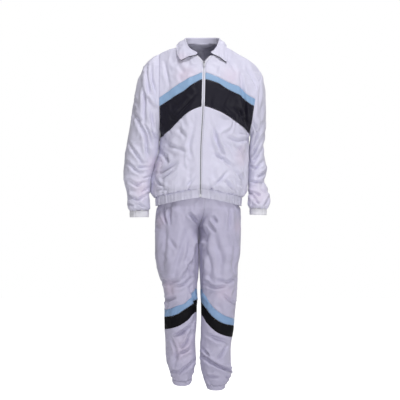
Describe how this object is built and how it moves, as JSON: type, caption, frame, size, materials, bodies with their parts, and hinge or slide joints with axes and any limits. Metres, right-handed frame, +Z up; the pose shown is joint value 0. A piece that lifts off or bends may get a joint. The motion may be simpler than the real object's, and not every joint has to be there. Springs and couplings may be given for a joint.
{
  "type": "tracksuit",
  "caption": "Two-piece shell tracksuit in its worn form: zipped jacket with chevron chest bands, gathered cuffs and hem, and trousers with bands below the knee.",
  "frame": {"origin": "the base of the neck on the line through both shoulder seams, where the wearer's shoulders carry the jacket", "axes": "+Z up along the wearer, the front faces -Y, +X to the wearer's left"},
  "size_m": [0.617, 0.2834, 1.4836],
  "materials": {
    "jacket_cloth": "pale lilac-white woven nylon, soft sheen",
    "trouser_cloth": "pale lilac-white woven nylon, soft sheen",
    "blue_cloth": "light blue woven nylon, soft sheen",
    "dark_cloth": "navy-black woven nylon, soft sheen",
    "cuff_cloth": "off-white elasticated cloth, matt",
    "zip_tape": "off-white woven tape, matt",
    "zip_plastic": "white moulded plastic, satin"
  },
  "bodies": {
    "suit": {"back_panel": "jacket_cloth", "hem_band_back": "jacket_cloth", "collar": "jacket_cloth", "yoke_left": "jacket_cloth", "front_lower_left": "jacket_cloth", "hem_band_left": "jacket_cloth", "sleeve_left": "jacket_cloth", "pocket_welt_left": "jacket_cloth", "chest_stripe_left": "blue_cloth", "chest_panel_left": "dark_cloth", "zip_tape_left": "zip_tape", "cuff_left": "cuff_cloth", "leg_front_upper_left": "trouser_cloth", "leg_front_lower_left": "trouser_cloth", "leg_back_left": "trouser_cloth", "ankle_band_left": "trouser_cloth", "leg_stripe_blue_left": "blue_cloth", "leg_stripe_dark_left": "dark_cloth", "yoke_right": "jacket_cloth", "front_lower_right": "jacket_cloth", "hem_band_right": "jacket_cloth", "sleeve_right": "jacket_cloth", "pocket_welt_right": "jacket_cloth", "chest_stripe_right": "blue_cloth", "chest_panel_right": "dark_cloth", "zip_tape_right": "zip_tape", "cuff_right": "cuff_cloth", "leg_front_upper_right": "trouser_cloth", "leg_front_lower_right": "trouser_cloth", "leg_back_right": "trouser_cloth", "ankle_band_right": "trouser_cloth", "leg_stripe_blue_right": "blue_cloth", "leg_stripe_dark_right": "dark_cloth", "waistband": "trouser_cloth", "zip_slider": "zip_plastic", "zip_box": "zip_plastic"},
    "pull_tab": {"zip_pull": "zip_plastic"}
  },
  "joints": [
    {"name": "pull_tab_hinge", "type": "hinge", "parent": "suit", "child": "pull_tab", "pos_m": [0.0126, -0.08858, -0.05406], "axis": [-1, 0, 0], "range_deg": [0, 155]}
  ]
}
